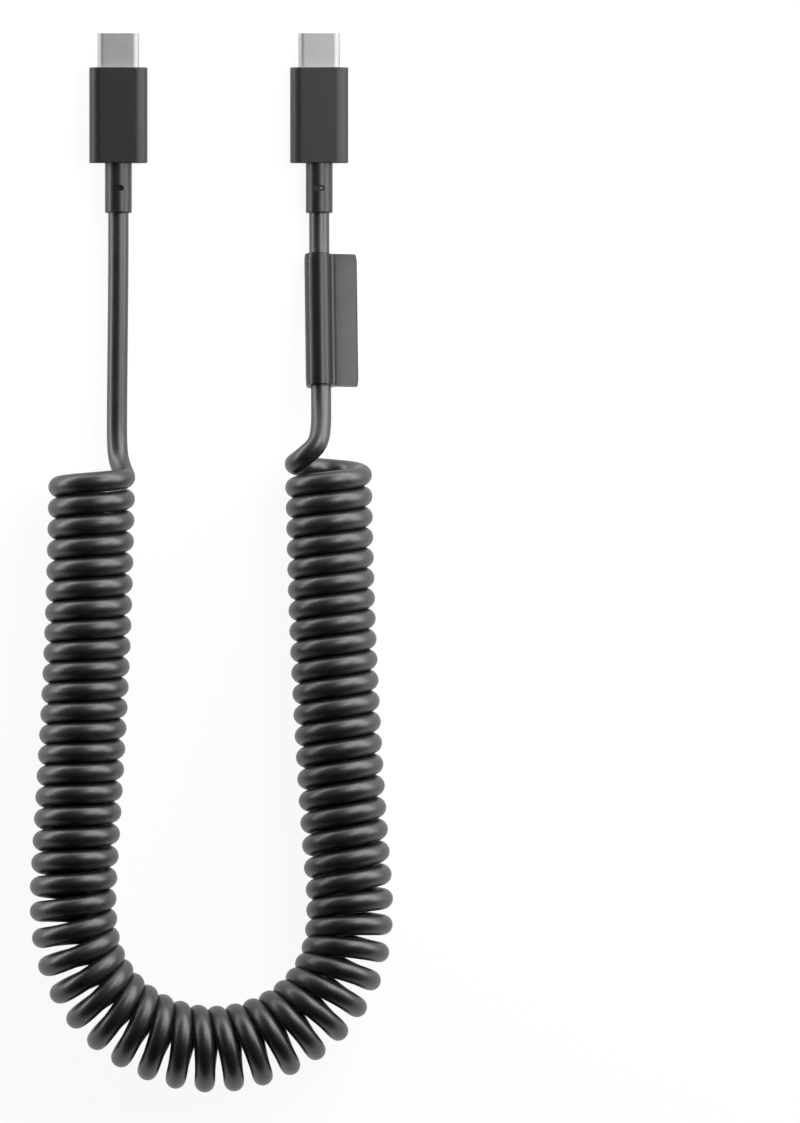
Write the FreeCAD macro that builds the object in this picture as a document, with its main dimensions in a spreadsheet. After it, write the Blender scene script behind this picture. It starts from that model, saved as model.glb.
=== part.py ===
"""A curly usb-c charging cable, lying flat in a U with both plugs side by side.

Lengths are millimetres. X is to the right, Y points out of the plugs' mouths and Z is up from
the table. The origin is under the middle of the cable's footprint. Each plug is drawn on its own
axis: local Z points out of its mouth, local Y is its thickness, and its datum is the front face
of the housing, so that stations behind that face are negative.
"""
import FreeCAD, Part
import math
import os
import re
import Sketcher

# Name, value and meaning of each driving dimension.
SIZES = [
    ("shell_width", 8.25, "outside width of the metal mouth"),
    ("shell_height", 2.40, "outside height of the metal mouth"),
    ("shell_wall", 0.25, "sheet thickness of the mouth"),
    ("shell_reach", 6.80, "mouth in front of the housing"),
    ("shell_inset", 3.40, "mouth behind the housing's front face"),
    ("lip_round", 0.12, "rounding of the mouth's rim"),
    ("insulator_fit", 0.03, "room between the insulator and the mouth"),
    ("insulator_setback", 0.40, "insulator behind the mouth's rim"),
    ("insulator_tail", 2.90, "insulator behind the datum"),
    ("tongue_width", 6.40, "width of the tongue slot"),
    ("tongue_gap", 0.80, "height of the tongue slot"),
    ("tongue_depth", 5.40, "depth of the tongue slot"),
    ("contact_count", 12, "contacts in a row"),
    ("contact_pitch", 0.50, "spacing of the contacts"),
    ("contact_width", 0.26, "width of a contact strip"),
    ("contact_thickness", 0.14, "sheet thickness of a contact"),
    ("contact_level", 0.62, "height of a contact in its channel"),
    ("contact_crest", 0.33, "height of a contact's touching crest"),
    ("contact_crest_setback", 1.90, "crest behind the insulator's front"),
    ("contact_crest_length", 0.40, "flat length of the crest"),
    ("contact_tip_length", 0.50, "tip in front of the crest"),
    ("contact_tail", 1.20, "tail that lies on the card"),
    ("contact_room", 0.04, "room round a contact in its channel"),
    ("latch_thickness", 0.20, "sheet thickness of the latch plate"),
    ("latch_arm", 0.30, "width of a latch arm"),
    ("latch_gap", 0.06, "latch arm beside the tongue slot"),
    ("latch_hook", 0.22, "hook's reach into the tongue slot"),
    ("latch_hook_length", 0.45, "length of the hook"),
    ("latch_tip_setback", 1.30, "latch tip behind the insulator's front"),
    ("latch_tail", 2.20, "latch plate behind the datum"),
    ("latch_fit", 0.03, "room round the latch plate"),
    ("spring_thickness", 0.09, "sheet thickness of a ground spring"),
    ("spring_width", 5.20, "width of a ground spring"),
    ("spring_setback", 0.45, "spring tip behind the insulator's front"),
    ("spring_finger", 0.85, "length of a spring's bent fingers"),
    ("spring_plate", 2.40, "length of a spring's flat plate"),
    ("spring_crest", 0.33, "height of a spring's touching crest"),
    ("slit_count", 3, "slits in a ground spring"),
    ("slit_width", 0.30, "slit between a spring's fingers"),
    ("slit_pitch", 1.30, "spacing of the slits"),
    ("spring_fit", 0.02, "room round a spring"),
    ("card_gap", 0.50, "card behind the insulator"),
    ("card_width", 7.00, "width of the paddle card"),
    ("card_thickness", 0.60, "thickness of the paddle card"),
    ("card_length", 5.00, "length of the paddle card"),
    ("chip_side", 1.80, "side of the marker chip"),
    ("chip_height", 0.50, "height of the marker chip"),
    ("chip_setback", 1.50, "chip behind the card's front edge"),
    ("capacitor_count", 3, "capacitors in a row"),
    ("capacitor_length", 1.00, "length of a capacitor"),
    ("capacitor_width", 0.50, "width of a capacitor"),
    ("capacitor_height", 0.35, "height of a capacitor"),
    ("capacitor_pitch", 0.90, "spacing of the capacitors"),
    ("capacitor_setback", 1.80, "capacitors behind the card's front edge"),
    ("power_wire", 0.90, "diameter of a power wire"),
    ("power_pitch", 1.00, "spacing of the power wires"),
    ("signal_wire", 0.60, "diameter of a signal wire"),
    ("signal_pitch", 0.70, "spacing of the signal wires"),
    ("wire_lap", 1.20, "wire that lies on the card"),
    ("can_wall", 0.20, "sheet thickness of the shield can"),
    ("can_fit", 0.03, "room between the can and what it holds"),
    ("can_setback", 1.40, "can behind the datum"),
    ("taper_length", 2.00, "can's change from oval to round"),
    ("collar_length", 2.20, "round collar of the can"),
    ("core_diameter", 2.90, "braided core inside the jacket"),
    ("core_fit", 0.02, "room between the core and the jacket"),
    ("cord_diameter", 3.90, "outside diameter of the cable"),
    ("cord_fit", 0.03, "room round the cable in what grips it"),
    ("jacket_land", 1.00, "jacket that the inner mould holds"),
    ("mould_fit", 0.03, "room between the inner mould and its neighbours"),
    ("housing_width", 11.50, "width of the housing"),
    ("housing_thickness", 6.00, "thickness of the housing"),
    ("housing_length", 18.90, "length of the housing"),
    ("housing_corner", 2.30, "rounding of the housing's long edges"),
    ("housing_wall", 0.90, "wall of the housing"),
    ("rear_wall", 1.20, "rear wall of the housing"),
    ("edge_break", 0.20, "broken edge at the housing's ends"),
    ("flange_thickness", 1.60, "boot's flange inside the housing"),
    ("boot_diameter", 5.33, "diameter of the boot"),
    ("boot_length", 9.90, "boot behind the housing"),
    ("boot_fit", 0.03, "room between the boot and the housing"),
    ("boot_round", 0.30, "rounding of the boot's rim"),
    ("mark_width", 2.20, "pin mark across the boot"),
    ("mark_length", 1.10, "pin mark along the boot"),
    ("mark_depth", 0.60, "depth of a pin mark"),
    ("tag_length", 26.60, "length of the tag"),
    ("tag_sleeve", 5.80, "diameter of the tag's sleeve"),
    ("tag_fit", 0.10, "room between the tag and the cable"),
    ("tag_setback", 8.30, "tag behind the boot"),
    ("flag_reach", 7.40, "flag's edge from the cable's axis"),
    ("flag_thickness", 1.50, "thickness of the flag"),
    ("flag_corner", 0.90, "rounding of the flag's corners"),
    ("flag_root", 0.35, "hollow where the flag leaves the sleeve"),
    ("coil_diameter", 17.00, "outside diameter of the curly stretch"),
    ("left_plug_x", -18.34, "axis of the left plug"),
    ("right_plug_x", 21.38, "axis of the right plug"),
    ("exit_y", 69.00, "rear ends of both boots"),
]
ALIASES = {name for name, value, meaning in SIZES}

# Stations on a plug's axis, as formulas of the sizes: those in front of the datum first.
INSULATOR_FRONT = "(shell_reach - insulator_setback)"
SLOT_FLOOR = f"({INSULATOR_FRONT} - tongue_depth)"
CREST = f"({INSULATOR_FRONT} - contact_crest_setback)"
LATCH_TIP = f"({INSULATOR_FRONT} - latch_tip_setback)"
SPRING_TIP = f"({INSULATOR_FRONT} - spring_setback)"
SPRING_BEND = f"({SPRING_TIP} - spring_finger)"
CARD_FRONT = "(-insulator_tail - card_gap)"
CARD_REAR = f"({CARD_FRONT} - card_length)"
HOUSING_REAR = "(-housing_length)"
FLANGE_REAR = "(rear_wall - housing_length)"
FLANGE_FRONT = f"({FLANGE_REAR} + flange_thickness)"
JACKET_FRONT = f"({FLANGE_FRONT} + jacket_land)"
COLLAR_FRONT = f"({JACKET_FRONT} + collar_length)"
TAPER_FRONT = f"({COLLAR_FRONT} + taper_length)"
BOOT_REAR = f"({HOUSING_REAR} - boot_length)"

# Outlines that two pieces share, as formulas of the sizes.
SHELL_BORE_WIDTH = "(shell_width - 2 * shell_wall)"
SHELL_BORE_HEIGHT = "(shell_height - 2 * shell_wall)"
INSULATOR_WIDTH = f"({SHELL_BORE_WIDTH} - 2 * insulator_fit)"
INSULATOR_HEIGHT = f"({SHELL_BORE_HEIGHT} - 2 * insulator_fit)"
CAN_BORE_WIDTH = "(shell_width + 2 * can_fit)"
CAN_BORE_HEIGHT = "(shell_height + 2 * can_fit)"
CAN_WIDTH = f"({CAN_BORE_WIDTH} + 2 * can_wall)"
CAN_HEIGHT = f"({CAN_BORE_HEIGHT} + 2 * can_wall)"
COLLAR_BORE = "(core_diameter + 2 * can_fit)"
COLLAR_DIAMETER = f"({COLLAR_BORE} + 2 * can_wall)"
CAVITY_WIDTH = "(housing_width - 2 * housing_wall)"
CAVITY_THICKNESS = "(housing_thickness - 2 * housing_wall)"
CAVITY_CORNER = "(housing_corner - housing_wall)"
MOULD_WIDTH = f"({CAVITY_WIDTH} - 2 * mould_fit)"
MOULD_THICKNESS = f"({CAVITY_THICKNESS} - 2 * mould_fit)"
MOULD_CORNER = f"({CAVITY_CORNER} - mould_fit)"
LATCH_INSIDE = "(tongue_width / 2 + latch_gap)"
LATCH_OUTSIDE = f"({LATCH_INSIDE} + latch_arm)"
LATCH_HOOK = "(tongue_width / 2 - latch_hook)"
FIRST_CONTACT = "(-(contact_count - 1) / 2 * contact_pitch)"
FIRST_SLIT = "(-(slit_count - 1) / 2 * slit_pitch)"
FIRST_CAPACITOR = "(-(capacitor_count - 1) / 2 * capacitor_pitch)"
SPRING_LEVEL = f"({INSULATOR_HEIGHT} / 2 - spring_thickness / 2)"
SPRING_CREST_REAR = f"({SPRING_BEND} + spring_finger * 3 / 5)"
SPRING_CREST_FRONT = f"({SPRING_BEND} + spring_finger * 4 / 5)"

# The cable's free route, chosen by hand. A lead's first point is the end of its boot, and its last
# lies inside the coil, which trims it. The coil's points are on the table's plane.
LEFT_LEAD_ROUTE = [(-18.50, 43.0, 2.75), (-18.62, 29.0, 3.10), (-18.42, 15.5, 5.10)]
RIGHT_LEAD_ROUTE = [(21.80, 31.0, 9.60), (21.30, 23.0, 12.50), (16.90, 18.2, 13.00)]
COIL_ROUTE = [
    (-23.6, 18.2), (-24.1, -6.0), (-25.2, -30.0), (-26.5, -51.5), (-27.4, -73.3),
    (-22.3, -85.3), (-12.4, -93.7), (0.2, -96.7), (12.8, -93.7), (22.7, -85.3),
    (27.8, -73.3), (26.7, -51.5), (25.0, -30.0), (23.7, -6.0), (23.2, 20.5),
]
LEFT_FIRST_RUN = 11.0
RIGHT_FIRST_RUN = 6.5
ARC_SHARE = 0.45

TINY = 1e-6
NEAR = 1e-4
UP = FreeCAD.Vector(0, 0, 1)

doc = FreeCAD.newDocument("CurlyCable")
sheet = doc.addObject("Spreadsheet::Sheet", "Sizes")
for row, (name, value, meaning) in enumerate(SIZES, 1):
    sheet.set(f"A{row}", meaning)
    sheet.set(f"B{row}", str(value))
    sheet.setAlias(f"B{row}", name)
doc.recompute()


def size(name):
    """The number that the sheet holds for one size."""
    return float(sheet.get(name))


def formula(text):
    """The text with each size written as a reference to the sheet."""
    def refer(word):
        found = word.group(0)
        return "Sizes." + found if found in ALIASES else found
    return re.sub(r"[a-z]\w*", refer, text)


def bind(target, path, text):
    """Drive one property or constraint by a formula of the sizes."""
    target.setExpression(path, formula(text))


def drive(sketch, kind, ends, text):
    """Add a measured constraint whose value is a formula."""
    number = sketch.addConstraint(Sketcher.Constraint(kind, *ends, 1.0))
    bind(sketch, f"Constraints[{number}]", text)


# Outlines, each drawn round the origin of a sketch.

def polygon(sketch, corners):
    """A closed outline through corners, each a pair of formulas."""
    count = len(corners)
    start = []
    for index in range(count):
        angle = 2 * math.pi * index / count
        start.append(FreeCAD.Vector(math.cos(angle), math.sin(angle), 0))
    lines = []
    for index in range(count):
        line = Part.LineSegment(start[index], start[(index + 1) % count])
        lines.append(sketch.addGeometry(line, False))
    for index, line in enumerate(lines):
        following = lines[(index + 1) % count]
        sketch.addConstraint(Sketcher.Constraint("Coincident", line, 2, following, 1))
    for line, (across, along) in zip(lines, corners):
        drive(sketch, "DistanceX", (-1, 1, line, 1), across)
        drive(sketch, "DistanceY", (-1, 1, line, 1), along)


def rectangle(sketch, left, low, right, high):
    """An upright rectangle between two corners."""
    polygon(sketch, [(left, low), (right, low), (right, high), (left, high)])


def centred_rectangle(sketch, width, height):
    """An upright rectangle round the origin."""
    rectangle(sketch, f"-{width} / 2", f"-{height} / 2", f"{width} / 2", f"{height} / 2")


def circle(sketch, diameter, across="0 * cord_fit", along="0 * cord_fit"):
    """A circle at a place given by two formulas."""
    ring = sketch.addGeometry(Part.Circle(FreeCAD.Vector(0, 0, 0), UP, 1.0), False)
    drive(sketch, "Diameter", (ring,), diameter)
    drive(sketch, "DistanceX", (-1, 1, ring, 3), across)
    drive(sketch, "DistanceY", (-1, 1, ring, 3), along)


def arc(sketch, centre, radius, begin, end):
    """A first guess of an arc, between two angles in quarter turns."""
    ring = Part.Circle(FreeCAD.Vector(*centre, 0), UP, radius)
    return sketch.addGeometry(Part.ArcOfCircle(ring, begin * math.pi / 2, end * math.pi / 2), False)


def line(sketch, begin, end):
    """A first guess of a straight edge."""
    return sketch.addGeometry(Part.LineSegment(FreeCAD.Vector(*begin, 0), FreeCAD.Vector(*end, 0)), False)


def join(sketch, edges):
    """Join edges end to start, tangent to each other, into a closed outline."""
    for edge, following in zip(edges, edges[1:] + edges[:1]):
        sketch.addConstraint(Sketcher.Constraint("Tangent", edge, 2, following, 1))


def stadium(sketch, width, height, centre=None):
    """An oval of two straight edges and two half circles, its middle at the origin or at a height."""
    low = line(sketch, (-3, -1), (3, -1))
    right = arc(sketch, (3, 0), 1, -1, 1)
    high = line(sketch, (3, 1), (-3, 1))
    left = arc(sketch, (-3, 0), 1, 1, 3)
    join(sketch, [low, right, high, left])
    sketch.addConstraint(Sketcher.Constraint("Horizontal", low))
    sketch.addConstraint(Sketcher.Constraint("Equal", left, right))
    drive(sketch, "DistanceX", (-1, 1, right, 3), f"({width} - {height}) / 2")
    drive(sketch, "DistanceX", (left, 3, -1, 1), f"({width} - {height}) / 2")
    drive(sketch, "DistanceY", (-1, 1, right, 3), centre or "0 * cord_fit")
    drive(sketch, "Radius", (right,), f"{height} / 2")


def rounded_rectangle(sketch, width, height, radius):
    """A rectangle round the origin whose four corners are quarter circles."""
    low = line(sketch, (-4, -3), (4, -3))
    low_right = arc(sketch, (4, -2), 1, -1, 0)
    right = line(sketch, (5, -2), (5, 2))
    high_right = arc(sketch, (4, 2), 1, 0, 1)
    high = line(sketch, (4, 3), (-4, 3))
    high_left = arc(sketch, (-4, 2), 1, 1, 2)
    left = line(sketch, (-5, 2), (-5, -2))
    low_left = arc(sketch, (-4, -2), 1, 2, 3)
    join(sketch, [low, low_right, right, high_right, high, high_left, left, low_left])
    for level in (low, high):
        sketch.addConstraint(Sketcher.Constraint("Horizontal", level))
    for upright in (left, right):
        sketch.addConstraint(Sketcher.Constraint("Vertical", upright))
    for corner in (high_right, high_left, low_left):
        sketch.addConstraint(Sketcher.Constraint("Equal", low_right, corner))
    drive(sketch, "Radius", (low_right,), radius)
    drive(sketch, "DistanceX", (-1, 1, high_right, 3), f"{width} / 2 - {radius}")
    drive(sketch, "DistanceY", (-1, 1, high_right, 3), f"{height} / 2 - {radius}")
    drive(sketch, "DistanceX", (low_left, 3, -1, 1), f"{width} / 2 - {radius}")
    drive(sketch, "DistanceY", (low_left, 3, -1, 1), f"{height} / 2 - {radius}")


# Features of a piece, each with a sketch on one of the piece's own origin planes.

def origin_feature(body, role):
    """One of the planes or axes of a body's origin."""
    return next(feature for feature in body.Origin.OriginFeatures if feature.Role == role)


def new_body(label):
    """An empty piece."""
    body = doc.addObject("PartDesign::Body", label)
    body.Label = label
    return body


def sketch_on(body, name, role, offset, draw):
    """A sketch on an origin plane, moved along its normal, with the outline that draw puts in it."""
    sketch = body.newObject("Sketcher::SketchObject", name + "_outline")
    sketch.AttachmentSupport = [(origin_feature(body, role), "")]
    sketch.MapMode = "FlatFace"
    bind(sketch, "AttachmentOffset.Base.z", offset)
    draw(sketch)
    return sketch


def feature(body, kind, name, profile, length):
    """A pad or pocket of a length given by a formula."""
    made = body.newObject(kind, name)
    made.Profile = profile
    bind(made, "Length", length)
    return made


def settle_cut(body, cutter, before):
    """Recompute, and stop if a cut took nothing away."""
    doc.recompute()
    if body.Shape.Volume > before - TINY:
        raise RuntimeError(f"{cutter.Label} cuts nothing from {body.Label}")
    return cutter


def add(body, name, draw, rear, front):
    """Material between two stations of the piece's axis."""
    profile = sketch_on(body, name, "XY_Plane", rear, draw)
    made = feature(body, "PartDesign::Pad", name, profile, f"{front} - {rear}")
    doc.recompute()
    return made


def cut(body, name, draw, rear, front):
    """A hollow between two stations of the piece's axis."""
    before = body.Shape.Volume
    profile = sketch_on(body, name, "XY_Plane", front, draw)
    made = feature(body, "PartDesign::Pocket", name, profile, f"{front} - {rear}")
    return settle_cut(body, made, before)


def add_across(body, name, role, draw, width, offset="0 * cord_fit"):
    """Material to both sides of a sketch on a side plane."""
    profile = sketch_on(body, name, role, offset, draw)
    made = feature(body, "PartDesign::Pad", name, profile, width)
    made.SideType = "Symmetric"
    doc.recompute()
    return made


def cut_across(body, name, role, draw, width, offset="0 * cord_fit"):
    """A hollow to both sides of a sketch on a side plane."""
    before = body.Shape.Volume
    profile = sketch_on(body, name, role, offset, draw)
    made = feature(body, "PartDesign::Pocket", name, profile, width)
    made.SideType = "Symmetric"
    return settle_cut(body, made, before)


def loft(body, kind, name, sections):
    """A loft through sketches at stations of the piece's axis, each a station and its outline."""
    sketches = []
    for number, (station, draw) in enumerate(sections):
        sketches.append(sketch_on(body, f"{name}_{number}", "XY_Plane", station, draw))
    made = body.newObject(kind, name)
    made.Profile = sketches[0]
    made.Sections = sketches[1:]
    doc.recompute()
    return made


def row(body, originals, count, spacing):
    """Repeat features in a row along local X."""
    pattern = body.newObject("PartDesign::LinearPattern", "Row")
    pattern.Originals = originals
    pattern.Direction = (origin_feature(body, "X_Axis"), [""])
    pattern.Mode = "Spacing"
    bind(pattern, "Offset", spacing)
    bind(pattern, "Occurrences", count)
    body.Tip = pattern
    doc.recompute()
    return pattern


def fillet(body, base, edges, radius):
    """Round the named edges of a feature."""
    made = body.newObject("PartDesign::Fillet", "Rounding")
    made.Base = (base, edges)
    bind(made, "Radius", radius)
    doc.recompute()
    return made


def rim(base, station):
    """The outer edges of the flat face at one station of the piece's axis."""
    names = []
    for face in base.Shape.Faces:
        box = face.BoundBox
        if box.ZLength > TINY or abs(box.ZMin - station) > TINY:
            continue
        for edge in face.OuterWire.Edges:
            for number, other in enumerate(base.Shape.Edges, 1):
                if other.isSame(edge):
                    names.append(f"Edge{number}")
    return names


def edges_where(base, test):
    """The edges of a feature whose bounding box passes a test."""
    return [f"Edge{number}" for number, edge in enumerate(base.Shape.Edges, 1) if test(edge.BoundBox)]


# The pieces of a plug.

def make_plug_shell(label):
    """The drawn steel mouth."""
    body = new_body(label)
    mouth = add(body, "Mouth", lambda s: stadium(s, "shell_width", "shell_height"),
                "-shell_inset", "shell_reach")
    fillet(body, mouth, rim(mouth, size("shell_reach")), "lip_round")
    cut(body, "Bore", lambda s: stadium(s, SHELL_BORE_WIDTH, SHELL_BORE_HEIGHT),
        "-shell_inset", "shell_reach")
    return body


def contact_channel(sign):
    """Side outline of a contact's channel: a tight slit in the rear, open to the slot in front."""
    slit_low = f"{sign}(contact_level - contact_thickness / 2 - contact_room / 2)"
    slit_high = f"{sign}(contact_level + contact_thickness / 2 + contact_room / 2)"
    front = f"({CREST} + contact_crest_length / 2 + contact_tip_length + contact_room)"
    inside = f"{sign}tongue_gap / 4"
    return [(slit_low, "-insulator_tail"), (slit_high, "-insulator_tail"), (slit_high, front),
            (inside, front), (inside, SLOT_FLOOR), (slit_low, SLOT_FLOOR)]


def spring_seat(sign):
    """Side outline of the seat of a ground spring and of its fingers' window into the slot."""
    outside = f"{sign}{INSULATOR_HEIGHT} / 2"
    floor = f"{sign}({INSULATOR_HEIGHT} / 2 - spring_thickness - spring_fit)"
    inside = f"{sign}tongue_gap / 4"
    rear = f"({SPRING_BEND} - spring_plate - spring_fit)"
    front = f"({SPRING_TIP} + spring_fit)"
    return [(outside, rear), (outside, front), (inside, front), (inside, SPRING_BEND),
            (floor, SPRING_BEND), (floor, rear)]


def both_sides(sketch, outline):
    """Draw an outline above the middle plane and its mirror image below it."""
    polygon(sketch, outline(""))
    polygon(sketch, outline("-"))


def make_insulator(label):
    """The moulded block with the tongue slot, the latch slit, spring seats and contact channels."""
    body = new_body(label)
    add(body, "Block", lambda s: stadium(s, INSULATOR_WIDTH, INSULATOR_HEIGHT),
        "-insulator_tail", INSULATOR_FRONT)
    cut(body, "TongueSlot", lambda s: centred_rectangle(s, "tongue_width", "tongue_gap"),
        SLOT_FLOOR, INSULATOR_FRONT)
    side = f"({LATCH_OUTSIDE} + latch_fit)"
    rear = "-latch_tail - latch_fit"
    front = f"{LATCH_TIP} + latch_fit"
    cut_across(body, "LatchSlit", "XZ_Plane", lambda s: rectangle(s, f"-{side}", rear, side, front),
               "latch_thickness + 2 * latch_fit")
    cut_across(body, "SpringSeats", "YZ_Plane", lambda s: both_sides(s, spring_seat),
               "spring_width + 2 * spring_fit")
    channels = cut_across(body, "Channels", "YZ_Plane", lambda s: both_sides(s, contact_channel),
                          "contact_width + contact_room", FIRST_CONTACT)
    row(body, [channels], "contact_count", "contact_pitch")
    return body


def contact_outline(sign):
    """Side outline of a contact: tail on the card, straight stem, sloping arm, crest and tip."""
    half = "contact_thickness / 2"
    tail = f"(card_thickness / 2 + {half})"
    stations = [
        (tail, f"{CARD_FRONT} - contact_tail"),
        (tail, CARD_FRONT),
        ("contact_level", "-insulator_tail"),
        ("contact_level", SLOT_FLOOR),
        ("contact_crest", f"{CREST} - contact_crest_length / 2"),
        ("contact_crest", f"{CREST} + contact_crest_length / 2"),
        ("contact_level - contact_thickness", f"{CREST} + contact_crest_length / 2 + contact_tip_length"),
    ]
    inner = [(f"{sign}({level} - {half})", station) for level, station in stations]
    outer = [(f"{sign}({level} + {half})", station) for level, station in stations]
    return inner + outer[::-1]


def make_contacts(label, sign):
    """A row of formed contact strips, on one side of the middle plane."""
    body = new_body(label)
    strip = add_across(body, "Strip", "YZ_Plane", lambda s: polygon(s, contact_outline(sign)),
                       "contact_width", FIRST_CONTACT)
    row(body, [strip], "contact_count", "contact_pitch")
    return body


def latch_outline():
    """Plan outline of the latch plate: a bar behind the slot and two hooked arms beside it."""
    hook_front = f"{LATCH_TIP} - latch_hook_length / 2"
    hook_rear = f"{LATCH_TIP} - latch_hook_length"
    hook_root = f"{LATCH_TIP} - 2 * latch_hook_length"
    bar_front = f"{SLOT_FLOOR} - latch_fit"
    right = [(LATCH_OUTSIDE, "-latch_tail"), (LATCH_OUTSIDE, LATCH_TIP), (LATCH_INSIDE, LATCH_TIP),
             (LATCH_HOOK, hook_front), (LATCH_HOOK, hook_rear), (LATCH_INSIDE, hook_root),
             (LATCH_INSIDE, bar_front)]
    left = [(f"-{across}", along) for across, along in right]
    return right + left[::-1]


def make_latch_plate(label):
    """The stamped latch plate in the middle plane."""
    body = new_body(label)
    add_across(body, "Plate", "XZ_Plane", lambda s: polygon(s, latch_outline()), "latch_thickness")
    return body


def spring_outline(sign):
    """Side outline of a ground spring: a flat plate and fingers bent into the slot."""
    half = "spring_thickness / 2"
    stations = [
        (SPRING_LEVEL, f"{SPRING_BEND} - spring_plate"),
        (SPRING_LEVEL, f"{SPRING_BEND} + spring_fit"),
        ("spring_crest", SPRING_CREST_REAR),
        ("spring_crest", SPRING_CREST_FRONT),
        ("spring_crest + spring_thickness", SPRING_TIP),
    ]
    inner = [(f"{sign}({level} - {half})", station) for level, station in stations]
    outer = [(f"{sign}({level} + {half})", station) for level, station in stations]
    return inner + outer[::-1]


def make_ground_springs(label):
    """The pair of ground springs, with slits that part each one's fingers."""
    body = new_body(label)
    add_across(body, "Strips", "YZ_Plane", lambda s: both_sides(s, spring_outline), "spring_width")
    slit = cut_across(body, "Slit", "XZ_Plane",
                      lambda s: rectangle(s, f"{FIRST_SLIT} - slit_width / 2", f"{SPRING_BEND} - slit_width",
                                          f"{FIRST_SLIT} + slit_width / 2", SPRING_TIP),
                      "shell_height")
    row(body, [slit], "slit_count", "slit_pitch")
    return body


def make_paddle_card(label):
    """The small circuit board that the contact tails straddle."""
    body = new_body(label)
    add(body, "Board", lambda s: centred_rectangle(s, "card_width", "card_thickness"),
        CARD_REAR, CARD_FRONT)
    return body


def make_marker_chip(label):
    """The identity chip on the card."""
    body = new_body(label)
    front = f"({CARD_FRONT} - chip_setback)"
    add(body, "Package",
        lambda s: rectangle(s, "-chip_side / 2", "card_thickness / 2",
                            "chip_side / 2", "card_thickness / 2 + chip_height"),
        f"({front} - chip_side)", front)
    return body


def make_card_capacitors(label):
    """The row of small ceramic parts on the card's other face."""
    body = new_body(label)
    front = f"({CARD_FRONT} - capacitor_setback)"
    block = add(body, "Block",
                lambda s: rectangle(s, f"{FIRST_CAPACITOR} - capacitor_width / 2",
                                    "-card_thickness / 2 - capacitor_height",
                                    f"{FIRST_CAPACITOR} + capacitor_width / 2", "-card_thickness / 2"),
                f"({front} - capacitor_length)", front)
    row(body, [block], "capacitor_count", "capacitor_pitch")
    return body


def draw_wires(sketch):
    """Two power wires on one face of the card and three signal wires on the other."""
    for place in (-0.5, 0.5):
        circle(sketch, "power_wire", f"{place} * power_pitch", "card_thickness / 2 + power_wire / 2")
    for place in (-1, 0, 1):
        circle(sketch, "signal_wire", f"{place} * signal_pitch", "-card_thickness / 2 - signal_wire / 2")


def make_wires(label):
    """The insulated cores between the braided core's end and the card."""
    body = new_body(label)
    add(body, "Cores", draw_wires, COLLAR_FRONT, f"({CARD_REAR} + wire_lap)")
    return body


def can_sections(width, height, diameter):
    """The two ends of the can's change from oval to round."""
    return [(TAPER_FRONT, lambda s: stadium(s, width, height)),
            (COLLAR_FRONT, lambda s: circle(s, diameter))]


def make_shield_can(label):
    """The drawn can: an oval sleeve round the mouth's rear end that narrows to a round collar."""
    body = new_body(label)
    add(body, "Sleeve", lambda s: stadium(s, CAN_WIDTH, CAN_HEIGHT), TAPER_FRONT, "-can_setback")
    loft(body, "PartDesign::AdditiveLoft", "Taper", can_sections(CAN_WIDTH, CAN_HEIGHT, COLLAR_DIAMETER))
    add(body, "Collar", lambda s: circle(s, COLLAR_DIAMETER), JACKET_FRONT, COLLAR_FRONT)
    cut(body, "SleeveBore", lambda s: stadium(s, CAN_BORE_WIDTH, CAN_BORE_HEIGHT),
        TAPER_FRONT, "-can_setback")
    loft(body, "PartDesign::SubtractiveLoft", "TaperBore",
         can_sections(CAN_BORE_WIDTH, CAN_BORE_HEIGHT, COLLAR_BORE))
    cut(body, "CollarBore", lambda s: circle(s, COLLAR_BORE), JACKET_FRONT, COLLAR_FRONT)
    return body


def make_braided_core(label):
    """The shielded core of the cable, from the wires to the boot's rear end."""
    body = new_body(label)
    add(body, "Core", lambda s: circle(s, "core_diameter"), BOOT_REAR, COLLAR_FRONT)
    return body


def make_jacket_end(label):
    """The stretch of jacket that the inner mould and the boot grip."""
    body = new_body(label)
    add(body, "Jacket", lambda s: circle(s, "cord_diameter"), BOOT_REAR, JACKET_FRONT)
    cut(body, "Bore", lambda s: circle(s, "core_diameter + 2 * core_fit"), BOOT_REAR, JACKET_FRONT)
    return body


def make_inner_mould(label):
    """The block that fills the housing round the can, the collar and the jacket."""
    body = new_body(label)
    add(body, "Block", lambda s: rounded_rectangle(s, MOULD_WIDTH, MOULD_THICKNESS, MOULD_CORNER),
        FLANGE_FRONT, "0 * mould_fit")
    room = "2 * mould_fit"
    cut(body, "Window", lambda s: stadium(s, f"(shell_width + {room})", f"(shell_height + {room})"),
        "-can_setback", "0 * mould_fit")
    cut(body, "CanSeat", lambda s: stadium(s, f"({CAN_WIDTH} + {room})", f"({CAN_HEIGHT} + {room})"),
        TAPER_FRONT, "-can_setback")
    loft(body, "PartDesign::SubtractiveLoft", "TaperSeat",
         can_sections(f"({CAN_WIDTH} + {room})", f"({CAN_HEIGHT} + {room})", f"{COLLAR_DIAMETER} + {room}"))
    cut(body, "CollarSeat", lambda s: circle(s, f"{COLLAR_DIAMETER} + {room}"), JACKET_FRONT, COLLAR_FRONT)
    cut(body, "JacketSeat", lambda s: circle(s, "cord_diameter + 2 * cord_fit"), FLANGE_FRONT, JACKET_FRONT)
    return body


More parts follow.
